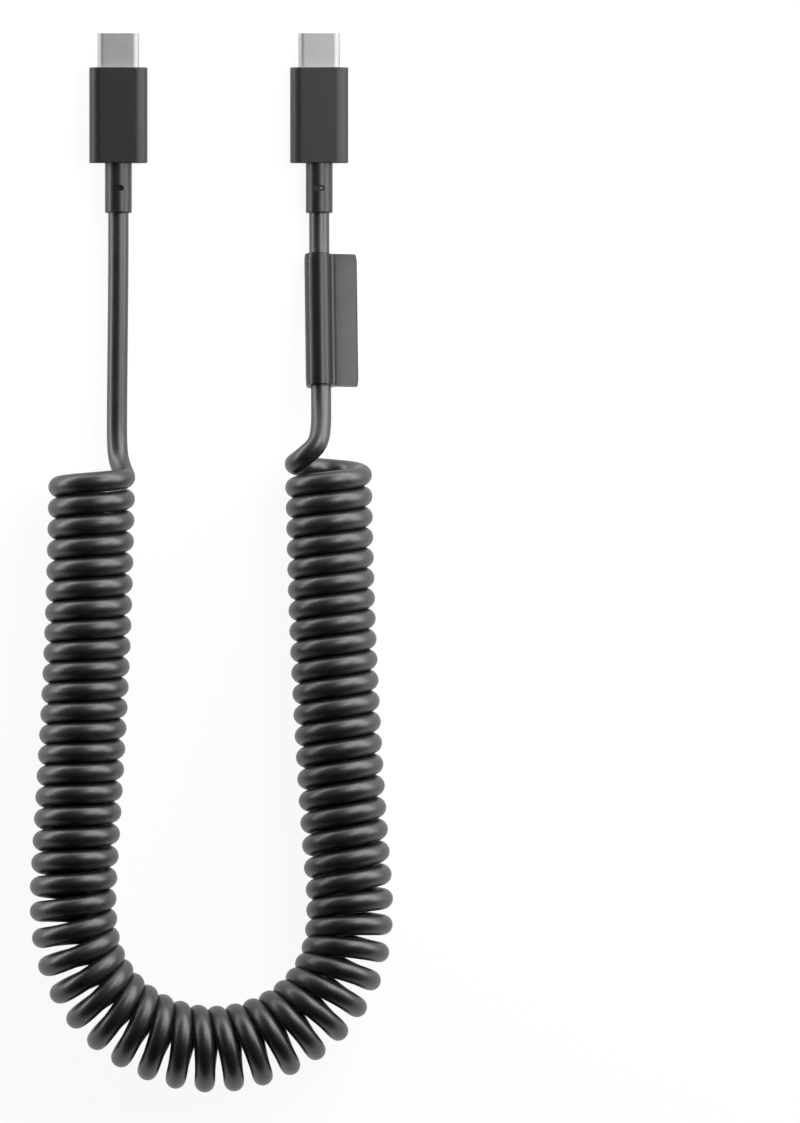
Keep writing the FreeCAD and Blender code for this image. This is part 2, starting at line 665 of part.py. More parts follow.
def make_housing(label):
    """The hard outer sleeve, open in front, with a round hole for the boot in its rear wall."""
    body = new_body(label)
    block = add(body, "Block",
                lambda s: rounded_rectangle(s, "housing_width", "housing_thickness", "housing_corner"),
                HOUSING_REAR, "0 * edge_break")
    ends = rim(block, 0.0) + rim(block, -size("housing_length"))
    fillet(body, block, ends, "edge_break")
    cut(body, "Cavity", lambda s: rounded_rectangle(s, CAVITY_WIDTH, CAVITY_THICKNESS, CAVITY_CORNER),
        FLANGE_REAR, "0 * edge_break")
    cut(body, "BootHole", lambda s: circle(s, "boot_diameter + 2 * boot_fit"), HOUSING_REAR, FLANGE_REAR)
    return body


def make_boot(label):
    """The strain relief: flange, round sleeve and a locating-pin mark on its upper and lower side."""
    body = new_body(label)
    sleeve = add(body, "Sleeve", lambda s: circle(s, "boot_diameter"), BOOT_REAR, FLANGE_REAR)
    fillet(body, sleeve, rim(sleeve, -size("housing_length") - size("boot_length")), "boot_round")
    add(body, "Flange", lambda s: rounded_rectangle(s, MOULD_WIDTH, MOULD_THICKNESS, MOULD_CORNER),
        FLANGE_REAR, FLANGE_FRONT)
    cut(body, "Bore", lambda s: circle(s, "cord_diameter + 2 * cord_fit"), BOOT_REAR, FLANGE_FRONT)
    middle = f"({HOUSING_REAR} - boot_length / 2)"
    for side, toward in (("Upper", False), ("Lower", True)):
        before = body.Shape.Volume
        floor = "(boot_diameter / 2 - mark_depth)"
        profile = sketch_on(body, side + "Mark", "XZ_Plane", floor if toward else f"-{floor}",
                            lambda s: stadium(s, "mark_width", "mark_length", middle))
        mark = feature(body, "PartDesign::Pocket", side + "Mark", profile, "mark_depth")
        mark.Reversed = toward
        settle_cut(body, mark, before)
    return body


PLUG_PIECES = [
    ("plug_shell", make_plug_shell),
    ("insulator", make_insulator),
    ("upper_contacts", lambda label: make_contacts(label, "")),
    ("lower_contacts", lambda label: make_contacts(label, "-")),
    ("latch_plate", make_latch_plate),
    ("ground_springs", make_ground_springs),
    ("paddle_card", make_paddle_card),
    ("card_capacitors", make_card_capacitors),
    ("wires", make_wires),
    ("shield_can", make_shield_can),
    ("braided_core", make_braided_core),
    ("jacket_end", make_jacket_end),
    ("inner_mould", make_inner_mould),
    ("housing", make_housing),
    ("boot", make_boot),
]


def copy_of(original, label):
    """A second piece of the same shape, which follows the first."""
    body = new_body(label)
    link = body.newObject("PartDesign::FeatureBase", "Original")
    link.BaseFeature = original
    body.Tip = link
    doc.recompute()
    return body


def lay_plug_piece(body, plug_x):
    """Lay a piece with its plug: mouth along Y, thickness up, the housing flat on the table."""
    body.Placement = FreeCAD.Placement(FreeCAD.Vector(), FreeCAD.Rotation(FreeCAD.Vector(0, 1, 1), 180))
    bind(body, "Placement.Base.x", plug_x)
    bind(body, "Placement.Base.y", "exit_y + boot_length + housing_length")
    bind(body, "Placement.Base.z", "housing_thickness / 2")


# The cable's own solids and the tag on it.

def tangent_path(name, points):
    """A path of straight runs joined by tangent arcs, each as large as its two runs allow."""
    edges = []
    radii = []
    begin = points[0]
    for before, corner, after in zip(points, points[1:], points[2:]):
        back = before - corner
        ahead = after - corner
        half_turn = (math.pi - back.getAngle(ahead)) / 2
        tangent = ARC_SHARE * min(back.Length, ahead.Length)
        radius = tangent / math.tan(half_turn)
        back.normalize()
        ahead.normalize()
        inward = back + ahead
        inward.normalize()
        first = corner + back * tangent
        middle = corner + inward * (radius / math.cos(half_turn) - radius)
        last = corner + ahead * tangent
        edges.append(Part.LineSegment(begin, first).toShape())
        edges.append(Part.Arc(first, middle, last).toShape())
        radii.append(round(radius, 1))
        begin = last
    edges.append(Part.LineSegment(begin, points[-1]).toShape())
    path = doc.addObject("Part::Feature", name + "_path")
    path.Shape = Part.Wire(edges)
    print(f"{name}: {path.Shape.Length:.1f} mm, arc radii {radii}")
    return path


def make_tube(name, points, diameter):
    """A round solid along a path through route points."""
    path = tangent_path(name, points)
    ring = doc.addObject("Part::Circle", name + "_section")
    bind(ring, "Radius", f"{diameter} / 2")
    ring.Placement = FreeCAD.Placement(points[0], FreeCAD.Rotation(UP, points[1] - points[0]))
    tube = doc.addObject("Part::Sweep", name)
    tube.Sections = [ring]
    tube.Spine = (path, [f"Edge{number}" for number in range(1, len(path.Shape.Edges) + 1)])
    tube.Solid = True
    tube.Label = name
    doc.recompute()
    expected = math.pi * (size(diameter) / 2) ** 2 * path.Shape.Length
    print(f"{name}: volume {tube.Shape.Volume:.1f}, section times length {expected:.1f} mm3")
    return tube


def boot_end(plug_x):
    """The middle of a boot's rear end, where its lead leaves."""
    return FreeCAD.Vector(size(plug_x), size("exit_y"), size("housing_thickness") / 2)


def make_lead(label, points, coil):
    """A lead, trimmed where it runs into the coil's end face."""
    cord = make_tube(label + "_cord", points, "cord_diameter")
    lead = doc.addObject("Part::Cut", label)
    lead.Base = cord
    lead.Tool = coil
    lead.Label = label
    doc.recompute()
    return lead


def make_cable_tag(label, run_start, run_end, gap):
    """A tag folded round a straight run of the lead: a sleeve with a flat flag beside it."""
    body = new_body(label)
    half = "tag_length / 2"
    add(body, "Sleeve", lambda s: circle(s, "tag_sleeve"), f"(-{half})", half)
    flag = add(body, "Flag",
               lambda s: rectangle(s, "0 * flag_reach", "-flag_thickness / 2",
                                   "flag_reach", "flag_thickness / 2"),
               f"(-{half})", half)
    free_edge = size("flag_reach")
    corners = edges_where(flag, lambda box: box.XMin > free_edge - TINY and box.ZLength < TINY)
    rounded = fillet(body, flag, corners, "flag_corner")
    root = math.sqrt((size("tag_sleeve") / 2) ** 2 - (size("flag_thickness") / 2) ** 2)
    roots = edges_where(rounded, lambda box: box.XLength < TINY and abs(box.XMin - root) < NEAR)
    fillet(body, rounded, roots, "flag_root")
    cut(body, "Bore", lambda s: circle(s, "cord_diameter + 2 * tag_fit"), f"(-{half})", half)
    along = run_start - run_end
    along.normalize()
    middle = run_start - along * (gap + size("tag_length") / 2)
    across = FreeCAD.Vector(1, 0, 0)
    body.Placement = FreeCAD.Placement(middle, FreeCAD.Rotation(across, FreeCAD.Vector(), along, "ZXY"))
    return body


def straight_out(start, run):
    """The point that a lead reaches after a straight run out of its boot."""
    return start + FreeCAD.Vector(0, -run, 0)


nodes = []
for piece, make in PLUG_PIECES:
    left = make("left_" + piece)
    right = copy_of(left, "right_" + piece)
    lay_plug_piece(left, "left_plug_x")
    lay_plug_piece(right, "right_plug_x")
    nodes += [left, right]
chip = make_marker_chip("left_marker_chip")
lay_plug_piece(chip, "left_plug_x")
nodes.append(chip)

coil_axis = size("coil_diameter") / 2
coil_points = [FreeCAD.Vector(across, along, coil_axis) for across, along in COIL_ROUTE]
coil = make_tube("coil", coil_points, "coil_diameter")
left_exit = boot_end("left_plug_x")
right_exit = boot_end("right_plug_x")
left_points = [left_exit, straight_out(left_exit, LEFT_FIRST_RUN)]
left_points += [FreeCAD.Vector(*point) for point in LEFT_LEAD_ROUTE]
right_points = [right_exit, straight_out(right_exit, RIGHT_FIRST_RUN)]
right_points += [FreeCAD.Vector(*point) for point in RIGHT_LEAD_ROUTE]
left_lead = make_lead("left_lead", left_points, coil)
right_lead = make_lead("right_lead", right_points, coil)
tag = make_cable_tag("cable_tag", right_points[1], right_points[2], size("tag_setback") - RIGHT_FIRST_RUN)
nodes += [coil, left_lead, right_lead, tag]
doc.recompute()

for item in doc.Objects:
    if "Invalid" in item.State or "Error" in item.State:
        raise RuntimeError(f"{item.Label} failed: {item.State}")
for node in nodes:
    if node.Shape.isNull() or not node.Shape.isValid() or not node.Shape.Solids:
        raise RuntimeError(f"{node.Label} has no valid solid")

os.makedirs("parts", exist_ok=True)
for node in nodes:
    node.Shape.exportStep(f"parts/{node.Label}.step")
    box = node.Shape.optimalBoundingBox(True, False)
    print(f"{node.Label}: {len(node.Shape.Solids)} solids, {node.Shape.Volume:.2f} mm3, "
          f"{box.XLength:.2f} x {box.YLength:.2f} x {box.ZLength:.2f} mm, low {box.ZMin:.3f}")
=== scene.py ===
# %% [markdown]
# A curly usb-c charging cable
#
# The cable lies flat in a U, with both plugs side by side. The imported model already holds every
# rigid piece at its real size, so this lesson adds what solids can't show: the wound cord, the
# folded tag, the woven screen and the finish of each surface. All lengths are metres, and MM
# turns millimetres into them.

# %% Load the frame
import math

import bpy
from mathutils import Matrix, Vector


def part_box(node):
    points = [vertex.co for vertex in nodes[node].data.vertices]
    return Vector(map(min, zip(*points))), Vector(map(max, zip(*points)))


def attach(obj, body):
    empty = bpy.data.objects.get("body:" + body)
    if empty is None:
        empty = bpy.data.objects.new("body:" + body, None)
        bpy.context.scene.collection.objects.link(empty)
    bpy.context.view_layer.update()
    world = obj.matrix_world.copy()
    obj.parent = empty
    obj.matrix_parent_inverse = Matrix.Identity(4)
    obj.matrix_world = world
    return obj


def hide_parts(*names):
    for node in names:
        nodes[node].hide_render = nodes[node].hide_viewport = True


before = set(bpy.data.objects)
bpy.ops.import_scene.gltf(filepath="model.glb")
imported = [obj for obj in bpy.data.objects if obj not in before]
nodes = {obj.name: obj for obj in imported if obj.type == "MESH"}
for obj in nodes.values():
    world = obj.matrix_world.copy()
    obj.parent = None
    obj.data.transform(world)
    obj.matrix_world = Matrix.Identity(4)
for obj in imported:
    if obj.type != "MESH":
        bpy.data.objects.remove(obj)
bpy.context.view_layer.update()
MM = 0.001
BODY = "root"

# %% [markdown]
# The camera
#
# The picture looks straight down on the cable, and shows no perspective: a long lens far away does
# that. A picture point and a point of the table are tied by one scale, so the camera stands over
# the picture's middle and its lens follows from the picture's height.

# %% Camera
PICTURE = (800, 1123)
PIXELS_PER_MM = 5.06
MIDDLE_OF_U = (211, 562)
CAMERA_HEIGHT = 4.0
FOCUS_LEVEL = 6 * MM

scene = bpy.context.scene
scene.view_settings.view_transform = "Standard"


def table_point(pixel_x, pixel_y):
    """The point of the table that a picture point shows."""
    across = (pixel_x - MIDDLE_OF_U[0]) / PIXELS_PER_MM * MM
    along = (MIDDLE_OF_U[1] - pixel_y) / PIXELS_PER_MM * MM
    return across, along


camera_data = bpy.data.cameras.new("camera")
camera = bpy.data.objects.new("camera", camera_data)
scene.collection.objects.link(camera)
picture_height = PICTURE[1] / PIXELS_PER_MM * MM
camera_data.lens = camera_data.sensor_width * (CAMERA_HEIGHT - FOCUS_LEVEL) / picture_height
camera_data.clip_end = 3 * CAMERA_HEIGHT
camera.location = (*table_point(PICTURE[0] / 2, PICTURE[1] / 2), CAMERA_HEIGHT)
scene.camera = camera
print(f"lens {camera_data.lens:.0f} mm, frame {picture_height / MM:.1f} mm tall")

# %% [markdown]
# The cord
#
# The jacket is one piece from boot to boot: a straight lead, sixty touching turns and the other
# lead. Its route is a short list of points, smoothed by a NURBS curve. The turns are worked out by
# a loop that walks along the coil's own axis and goes round it once for each pitch. The soft coil
# lies a little wider than it is tall. How far a turn advances was read from the picture at places
# along the axis: least on the legs, more round the bend, and most in the last turn, which opens
# towards its lead. Round the bend the turns fan out: their inner sides stay pressed together, so
# most of a turn's advance is gathered there, and its outer side stands radial.

# %% Route of the leads and of the coil's axis
LEFT_LEAD = [(-18.34, 69.0, 3.00), (-18.34, 58.0, 3.00), (-18.50, 43.0, 2.75), (-18.62, 29.0, 3.00),
             (-18.62, 24.6, 3.30), (-18.45, 21.0, 4.20), (-17.75, 18.6, 6.00)]
RIGHT_LEAD = [(21.38, 69.0, 3.00), (21.38, 62.5, 3.00), (21.47, 56.1, 4.33), (21.73, 36.2, 8.51),
              (21.80, 31.0, 9.60), (21.80, 26.2, 11.80), (21.10, 23.1, 13.40), (18.70, 21.0, 13.30)]
COIL_AXIS = [(-23.45, 18.2), (-23.95, -6.0), (-25.05, -30.0), (-26.4, -51.5), (-27.75, -73.3),
             (-22.75, -85.7), (-12.6, -93.95), (0.2, -96.95), (13.1, -94.1), (23.3, -85.9),
             (28.1, -73.3), (26.2, -51.5), (24.85, -30.0), (23.68, -6.0), (23.15, 20.5)]
CORD_DIAMETER = 4.05 * MM
COIL_WIDTH = 17.35 * MM
COIL_HEIGHT = 17.0 * MM
COIL_LEVEL = COIL_HEIGHT / 2


def metres(points):
    """Route points as vectors in metres."""
    return [Vector(point) * MM for point in points]


def smooth_curve(name, points):
    """A curve whose single NURBS spline has these control points."""
    data = bpy.data.curves.new(name, "CURVE")
    data.dimensions = "3D"
    spline = data.splines.new("NURBS")
    spline.points.add(len(points) - 1)
    for control, point in zip(spline.points, points):
        control.co = (*point, 1)
    spline.order_u = 3
    spline.use_endpoint_u = True
    curve = bpy.data.objects.new(name, data)
    scene.collection.objects.link(curve)
    return curve


def points_along(curve):
    """The points of a curve's own line, in order."""
    mesh = bpy.data.meshes.new_from_object(curve)
    line = [vertex.co.copy() for vertex in mesh.vertices]
    bpy.data.meshes.remove(mesh)
    return line


axis_curve = smooth_curve("coil_axis", [Vector((x * MM, y * MM, COIL_LEVEL)) for x, y in COIL_AXIS])
axis_curve.data.resolution_u = 24
axis_line = points_along(axis_curve)
bpy.data.objects.remove(axis_curve)
print(f"coil axis: {len(axis_line)} points")


# %% Walk along the axis
class Walk:
    """Places on a line by their distance from its start."""

    def __init__(self, line):
        self.line = line
        self.marks = [0.0]
        for a, b in zip(line, line[1:]):
            self.marks.append(self.marks[-1] + (b - a).length)
        self.length = self.marks[-1]

    def at(self, distance):
        """The point at a distance, on the line drawn out straight past its ends."""
        index = 0
        while index < len(self.line) - 2 and self.marks[index + 1] < distance:
            index += 1
        a, b = self.line[index], self.line[index + 1]
        share = (distance - self.marks[index]) / (self.marks[index + 1] - self.marks[index])
        return a + (b - a) * share

    def heading(self, distance, reach):
        """The direction of the line about a distance."""
        return (self.at(distance + reach) - self.at(distance - reach)).normalized()

    def curvature(self, distance, reach):
        """How sharply the line bends about a distance, as one over the radius."""
        before = self.heading(distance - reach, reach)
        after = self.heading(distance + reach, reach)
        return before.angle(after) / (2 * reach)


axis = Walk(axis_line)
middle_radius = 1 / axis.curvature(axis.length / 2, 12 * MM)
print(f"axis {axis.length / MM:.1f} mm, bend {middle_radius / MM:.1f} mm")

# %% Wind the turns
TURNS = 60
TURN_STEPS = 16
TURN_SPACING = [(0, 4.25), (4, 4.23), (7, 4.15), (20, 4.17), (30, 4.04), (56, 4.06), (68, 4.31),
                (83, 4.46), (100, 4.71), (131, 4.72), (160, 4.68), (177, 4.52), (195, 4.34),
                (210, 4.16), (234, 4.05), (240, 4.02), (258.9, 4.05), (259.2, 6.3), (260.2, 6.3),
                (260.5, 4.4), (300, 4.4)]
BEND_RADIUS = 26 * MM
BEND_GATHER = 1.35
LOOK_AROUND = 5 * MM
LAST_TURN = math.radians(22.5)
FIRST_PLACE = 1.42 * MM
UP = Vector((0, 0, 1))
# A NURBS line of order 3 cuts inside its control points, so they stand a little outside the turn.
outset = 1 / (1 - (1 - math.cos(math.pi / TURN_STEPS)) / 2)
half_width = outset * (COIL_WIDTH - CORD_DIAMETER) / 2
half_height = outset * (COIL_HEIGHT - CORD_DIAMETER) / 2


def spacing(distance):
    """The advance of one turn at a distance along the axis, read between the listed places."""
    for (place, pitch), (next_place, next_pitch) in zip(TURN_SPACING, TURN_SPACING[1:]):
        if distance / MM <= next_place:
            share = (distance / MM - place) / (next_place - place)
            return (pitch + (next_pitch - pitch) * share) * MM


def wind(walk):
    """The control points of the turns, from the left leg's top to the right leg's top."""
    points = []
    step = math.tau / TURN_STEPS
    distance = FIRST_PLACE
    for index in range(round((TURNS * math.tau + LAST_TURN) / step) + 1):
        angle = index * step
        pitch = spacing(distance)
        bend = min(1.0, walk.curvature(distance, LOOK_AROUND) * BEND_RADIUS)
        gather = BEND_GATHER * bend * pitch / math.tau * math.sin(angle)
        centre = walk.at(distance + gather)
        inward = UP.cross(walk.heading(distance + gather, LOOK_AROUND))
        sideways = half_width * math.cos(angle) * inward
        upwards = half_height * math.sin(angle) * UP
        points.append(centre + sideways + upwards)
        distance += pitch / TURN_STEPS
    return points


turns = wind(axis)
print(f"{TURNS} turns, {len(turns)} points, last at {[round(x / MM, 1) for x in turns[-1]]} mm")

# %% Lay the cord
route = metres(LEFT_LEAD) + turns + metres(RIGHT_LEAD)[::-1]
cord = smooth_curve("cord", route)
cord.data.resolution_u = 3
cord_line = points_along(cord)
cord.data.bevel_depth = CORD_DIAMETER / 2
cord.data.bevel_resolution = 7
cord.data.use_fill_caps = True

# %% [markdown]
# Node trees
#
# The tag, the woven screen and every finish are made with nodes. One small class wraps a node's
# output, so that sums are written as sums, and one method adds any node: its kind, its settings,
# then the values or links of its sockets. A list of links goes to one socket that joins them.


# %% Sockets and trees
class Socket:
    """An output of a node, on which Python's operators add Math nodes."""

    def __init__(self, tree, socket):
        self.tree = tree
        self.socket = socket

    def output(self, key):
        """Another output of the same node."""
        return Socket(self.tree, self.socket.node.outputs[key])

    def maths(self, operation, first, second):
        return self.tree.node("ShaderNodeMath", {"operation": operation}, {0: first, 1: second})

    def __add__(self, other):
        return self.maths("ADD", self, other)

    def __radd__(self, other):
        return self.maths("ADD", other, self)

    def __sub__(self, other):
        return self.maths("SUBTRACT", self, other)

    def __rsub__(self, other):
        return self.maths("SUBTRACT", other, self)

    def __mul__(self, other):
        return self.maths("MULTIPLY", self, other)

    def __rmul__(self, other):
        return self.maths("MULTIPLY", other, self)

    def __truediv__(self, other):
        return self.maths("DIVIDE", self, other)

    def __rtruediv__(self, other):
        return self.maths("DIVIDE", other, self)

    def __pow__(self, other):
        return self.maths("POWER", self, other)

    def __mod__(self, other):
        return self.maths("FLOORED_MODULO", self, other)

    def __gt__(self, other):
        return self.maths("GREATER_THAN", self, other)

    def __lt__(self, other):
        return self.maths("LESS_THAN", self, other)

    def __abs__(self):
        return self.maths("ABSOLUTE", self, 0)

    def at_least(self, other):
        return self.maths("MAXIMUM", self, other)

    def at_most(self, other):
        return self.maths("MINIMUM", self, other)


class Tree:
    """A node tree that grows by one call for each node."""

    def __init__(self, tree):
        self.tree = tree
        tree.nodes.clear()

    def node(self, kind, settings=None, sockets=None, output=0):
        made = self.tree.nodes.new(kind)
        for name, value in (settings or {}).items():
            setattr(made, name, value)
        for key, value in (sockets or {}).items():
            given = value if isinstance(value, list) else [value]
            if isinstance(given[0], Socket):
                for link in given:
                    self.tree.links.new(link.socket, made.inputs[key])
            else:
                made.inputs[key].default_value = value
        return Socket(self, made.outputs[output]) if made.outputs else made


class ShapeTree(Tree):
    """A Geometry Nodes tree with named inputs."""

    def __init__(self, name, inputs):
        group = bpy.data.node_groups.new(name, "GeometryNodeTree")
        super().__init__(group)
        self.group = group
        group.interface.new_socket("Geometry", in_out="OUTPUT", socket_type="NodeSocketGeometry")
        group.interface.new_socket("Geometry", in_out="INPUT", socket_type="NodeSocketGeometry")
        for label, kind in inputs.items():
            group.interface.new_socket(label, in_out="INPUT", socket_type=kind)
        self.given = self.node("NodeGroupInput")

    def input(self, label):
        return self.given.output(label)

    def shape(self, name, start_mesh, values):
        """A plain mesh object of what the tree makes from a mesh and the values of its inputs."""
        seed = bpy.data.objects.new(name + "_seed", start_mesh)
        scene.collection.objects.link(seed)
        modifier = seed.modifiers.new("shape", "NODES")
        modifier.node_group = self.group
        for item in self.group.interface.items_tree:
            if item.in_out == "INPUT" and item.name in values:
                modifier[item.identifier] = values[item.name]
        graph = bpy.context.evaluated_depsgraph_get()
        mesh = bpy.data.meshes.new_from_object(seed.evaluated_get(graph))
        bpy.data.objects.remove(seed)
        made = bpy.data.objects.new(name, mesh)
        scene.collection.objects.link(made)
        return made


print("node helpers ready")

# %% [markdown]
# Finishes
#
# Each finish is a material that reads Object coordinates, which are metres here, so a speck of
# grain is as large on every piece. A grain is soft noise with a size, and it may be drawn out
# along an axis, as scratches and flow lines are.


# %% Finish
class Finish(Tree):
    """A material on Object coordinates."""

    def __init__(self, name):
        self.material = bpy.data.materials.new(name)
        self.material.use_nodes = True
        super().__init__(self.material.node_tree)
        self.place = self.node("ShaderNodeTexCoord", output="Object")
        self.x = self.node("ShaderNodeSeparateXYZ", None, {"Vector": self.place}, "X")
        self.y = self.x.output("Y")
        self.z = self.x.output("Z")

    def grain(self, size, stretch=(1, 1, 1), detail=2.0):
        """Soft noise from 0 to 1 with specks of one size, drawn out where stretched."""
        scale = [1 / (size * factor) for factor in stretch]
        spread = self.node("ShaderNodeMapping", None, {"Vector": self.place, "Scale": scale})
        return self.node("ShaderNodeTexNoise", None,
                         {"Vector": spread, "Scale": 1.0, "Detail": detail})

    def share(self, value, low, high):
        """How far a value has come from low to high, from 0 to 1, eased at both ends."""
        return self.node("ShaderNodeMapRange", {"interpolation_type": "SMOOTHSTEP"},
                         {"Value": value, "From Min": low, "From Max": high})

    def mix(self, share, first, second):
        """A colour between two colours."""
        return self.node("ShaderNodeMix", {"data_type": "RGBA"}, {0: share, 6: first, 7: second}, 2)

    def surface(self, colour, roughness, height=None, depth=0.0, **sockets):
        """Ends the material: a Principled shader, with relief of a depth in metres."""
        values = {"Base Color": colour, "Roughness": roughness}
        values.update({name.replace("_", " "): value for name, value in sockets.items()})
        if height is not None:
            values["Normal"] = self.node("ShaderNodeBump", None,
                                         {"Height": height, "Distance": depth})
        shader = self.node("ShaderNodeBsdfPrincipled", None, values)
        self.node("ShaderNodeOutputMaterial", None, {"Surface": shader})
        return self.material


def grey(level, warmth=0.0):
    """A grey colour, a little warm or cool."""
    return (level * (1 + warmth), level, level * (1 - warmth), 1)


print("finish helpers ready")

# %% [markdown]
# Jacket, housing, boot and tag
#
# These four are black, and what tells them apart is their gloss. The jacket is soft satin
# elastomer with a fine bloom and faint lines from the extruder's die, which run along it, so they
# follow the cord's own UV map. The housing is harder and carries the fine texture of its mould,
# worn smoother at the rims. The boot is duller, and the pin hole of the right boot carries a
# painted highlight, a pale spot. The tag is smooth vinyl with a calendered face.

# %% Black finishes
JACKET_LINES = 9
LINES_ALONG = 400
WORN_RIM = 0.5 * MM
# Place and size of a painted highlight: a pale spot in the right boot's pin hole.
PAINTED_GLINT_PLACE = (21.85 * MM, 73.95 * MM)
PAINTED_GLINT_SIZE = (0.42 * MM, 0.27 * MM)


def make_jacket():
    finish = Finish("satin_jacket")
    unrolled = finish.node("ShaderNodeUVMap", output="UV")
    along = finish.node("ShaderNodeSeparateXYZ", None, {"Vector": unrolled}, "X")
    turn = along.output("Y") * math.tau
    line_x = turn.maths("COSINE", turn, 0) * JACKET_LINES
    line_y = turn.maths("SINE", turn, 0) * JACKET_LINES
    die = finish.node("ShaderNodeCombineXYZ", None,
                      {"X": line_x, "Y": line_y, "Z": along * LINES_ALONG})
    lines = finish.node("ShaderNodeTexNoise", None, {"Vector": die, "Scale": 1.0, "Detail": 1.0})
    bloom = finish.grain(2.2 * MM, detail=3.0)
    grain = finish.grain(0.11 * MM)
    colour = finish.mix(finish.share(bloom, 0.35, 0.7), grey(0.008), grey(0.013, -0.02))
    roughness = 0.34 + 0.08 * bloom + 0.05 * grain
    return finish.surface(colour, roughness, 0.6 * grain + 0.4 * lines, 0.008 * MM, IOR=1.75)


def make_housing():
    finish = Finish("moulded_housing")
    sparks = finish.grain(0.13 * MM, detail=3.0)
    patches = finish.grain(3.0 * MM)
    rear, front = (corner.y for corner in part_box("left_housing"))
    front_rim = finish.share(finish.y, front - WORN_RIM, front)
    rear_rim = finish.share(finish.y, rear + WORN_RIM, rear)
    worn = (front_rim + rear_rim) * finish.share(finish.grain(0.8 * MM), 0.45, 0.65)
    colour = finish.mix(0.15 + 0.4 * patches, grey(0.008), grey(0.014, 0.01))
    colour = finish.mix(0.5 * worn, colour, grey(0.05))
    roughness = 0.45 + 0.10 * sparks - 0.08 * worn
    return finish.surface(colour, roughness, sparks, 0.012 * MM, IOR=1.55)


def make_boot():
    finish = Finish("dull_boot")
    grain = finish.grain(0.16 * MM, detail=3.0)
    bloom = finish.grain(1.8 * MM)
    colour = finish.mix(bloom, grey(0.007), grey(0.013, -0.02))
    # A painted highlight: a pale spot in the right boot's pin hole.
    glint_x = (finish.x - PAINTED_GLINT_PLACE[0]) / PAINTED_GLINT_SIZE[0]
    glint_y = (finish.y - PAINTED_GLINT_PLACE[1]) / PAINTED_GLINT_SIZE[1]
    fleck = finish.share((glint_x * glint_x + glint_y * glint_y) ** 0.5, 1.0, 0.5)
    colour = finish.mix(fleck, colour, grey(0.30))
    return finish.surface(colour, 0.33 + 0.10 * grain, grain, 0.014 * MM, IOR=1.56)


def make_tag():
    finish = Finish("folded_vinyl")
    face = finish.grain(0.22 * MM, (1, 1.6, 1))
    handled = finish.grain(4.5 * MM)
    colour = finish.mix(0.2 + 0.5 * handled, grey(0.006), grey(0.012, 0.01))
    return finish.surface(colour, 0.26 + 0.08 * handled + 0.05 * face, face, 0.010 * MM, IOR=1.46)


jacket = make_jacket()
housing_plastic = make_housing()
boot_rubber = make_boot()
tag_vinyl = make_tag()
black_finishes = (jacket, housing_plastic, boot_rubber, tag_vinyl)
print("black finishes:", ", ".join(material.name for material in black_finishes))

# %% [markdown]
# The tag
#
# A strip of vinyl is folded round the right lead and welded to itself beside it, so its section is
# a keyhole: a sleeve round the cord, a pressed weld line, and a flag of two plies that droops a
# little. The section is the same all along, so the outline is drawn once as a loop of points and a
# Geometry Nodes tree sweeps it along the cord, drawing it in at both ends to round the lips.

# %% Outline of the folded strip
SLEEVE_RADIUS = 3.0 * MM
BORE_RADIUS = 2.05 * MM
PLY_GAP = 0.03 * MM
SLEEVE_SIDE = [(0.60, 2.92), (1.10, 2.70), (1.52, 2.38), (1.82, 2.02), (2.02, 1.64), (2.18, 1.28)]
WELD_LINE = [(2.32, 0.98), (2.46, 0.84), (2.60, 0.77), (2.76, 0.745),
             (2.92, 0.735), (3.08, 0.730), (3.24, 0.715)]
FLAG_SIDE = [(4.50, 0.53), (5.60, 0.355), (6.85, 0.150),
             (6.98, 0.125), (7.16, 0.03), (7.32, -0.22), (7.40, -0.56)]
FLAG_DROOP = 0.66
TIP_INSET = 0.04
SLIT_INSET = 0.1


def mirrored(side):
    """The lower face of a ply, which droops with the upper one."""
    last_x, first_x = FLAG_SIDE[-1][0], WELD_LINE[-1][0]
    points = []
    for x, y in side:
        sag = FLAG_DROOP * max(0.0, x - first_x) / (last_x - first_x)
        points.append((x, -y - 2 * sag))
    return points


def arc(radius, start, end, count):
    """Points on a circle about the cord's axis, in millimetres."""
    turn = [math.radians(start + (end - start) * k / count) for k in range(count + 1)]
    return [(radius / MM * math.cos(a), radius / MM * math.sin(a)) for a in turn]


upper = SLEEVE_SIDE + WELD_LINE + FLAG_SIDE
lower = mirrored(upper)
tip = FLAG_SIDE[-1]
slit_end = BORE_RADIUS / MM
gap = PLY_GAP / MM / 2
seam = [(tip[0] - TIP_INSET, -FLAG_DROOP), (WELD_LINE[-1][0], 0.0), (slit_end + SLIT_INSET, 0.0)]
outline = upper[::-1] + arc(SLEEVE_RADIUS, 90, 270, 24) + lower
outline += [(x, y - gap) for x, y in seam] + arc(BORE_RADIUS, -2, -358, 40)
outline += [(x, y + gap) for x, y in seam[::-1]]
print(f"tag outline: {len(outline)} points")

# %% Sweep the tag along the lead
TAG_LENGTH = 26.6 * MM
TAG_FROM_CORNER = 1.8 * MM
TAG_LIP = 0.03
LIP_LENGTH = 0.25 * MM
TAG_RINGS = 48
TAG_CREASE = math.radians(50)

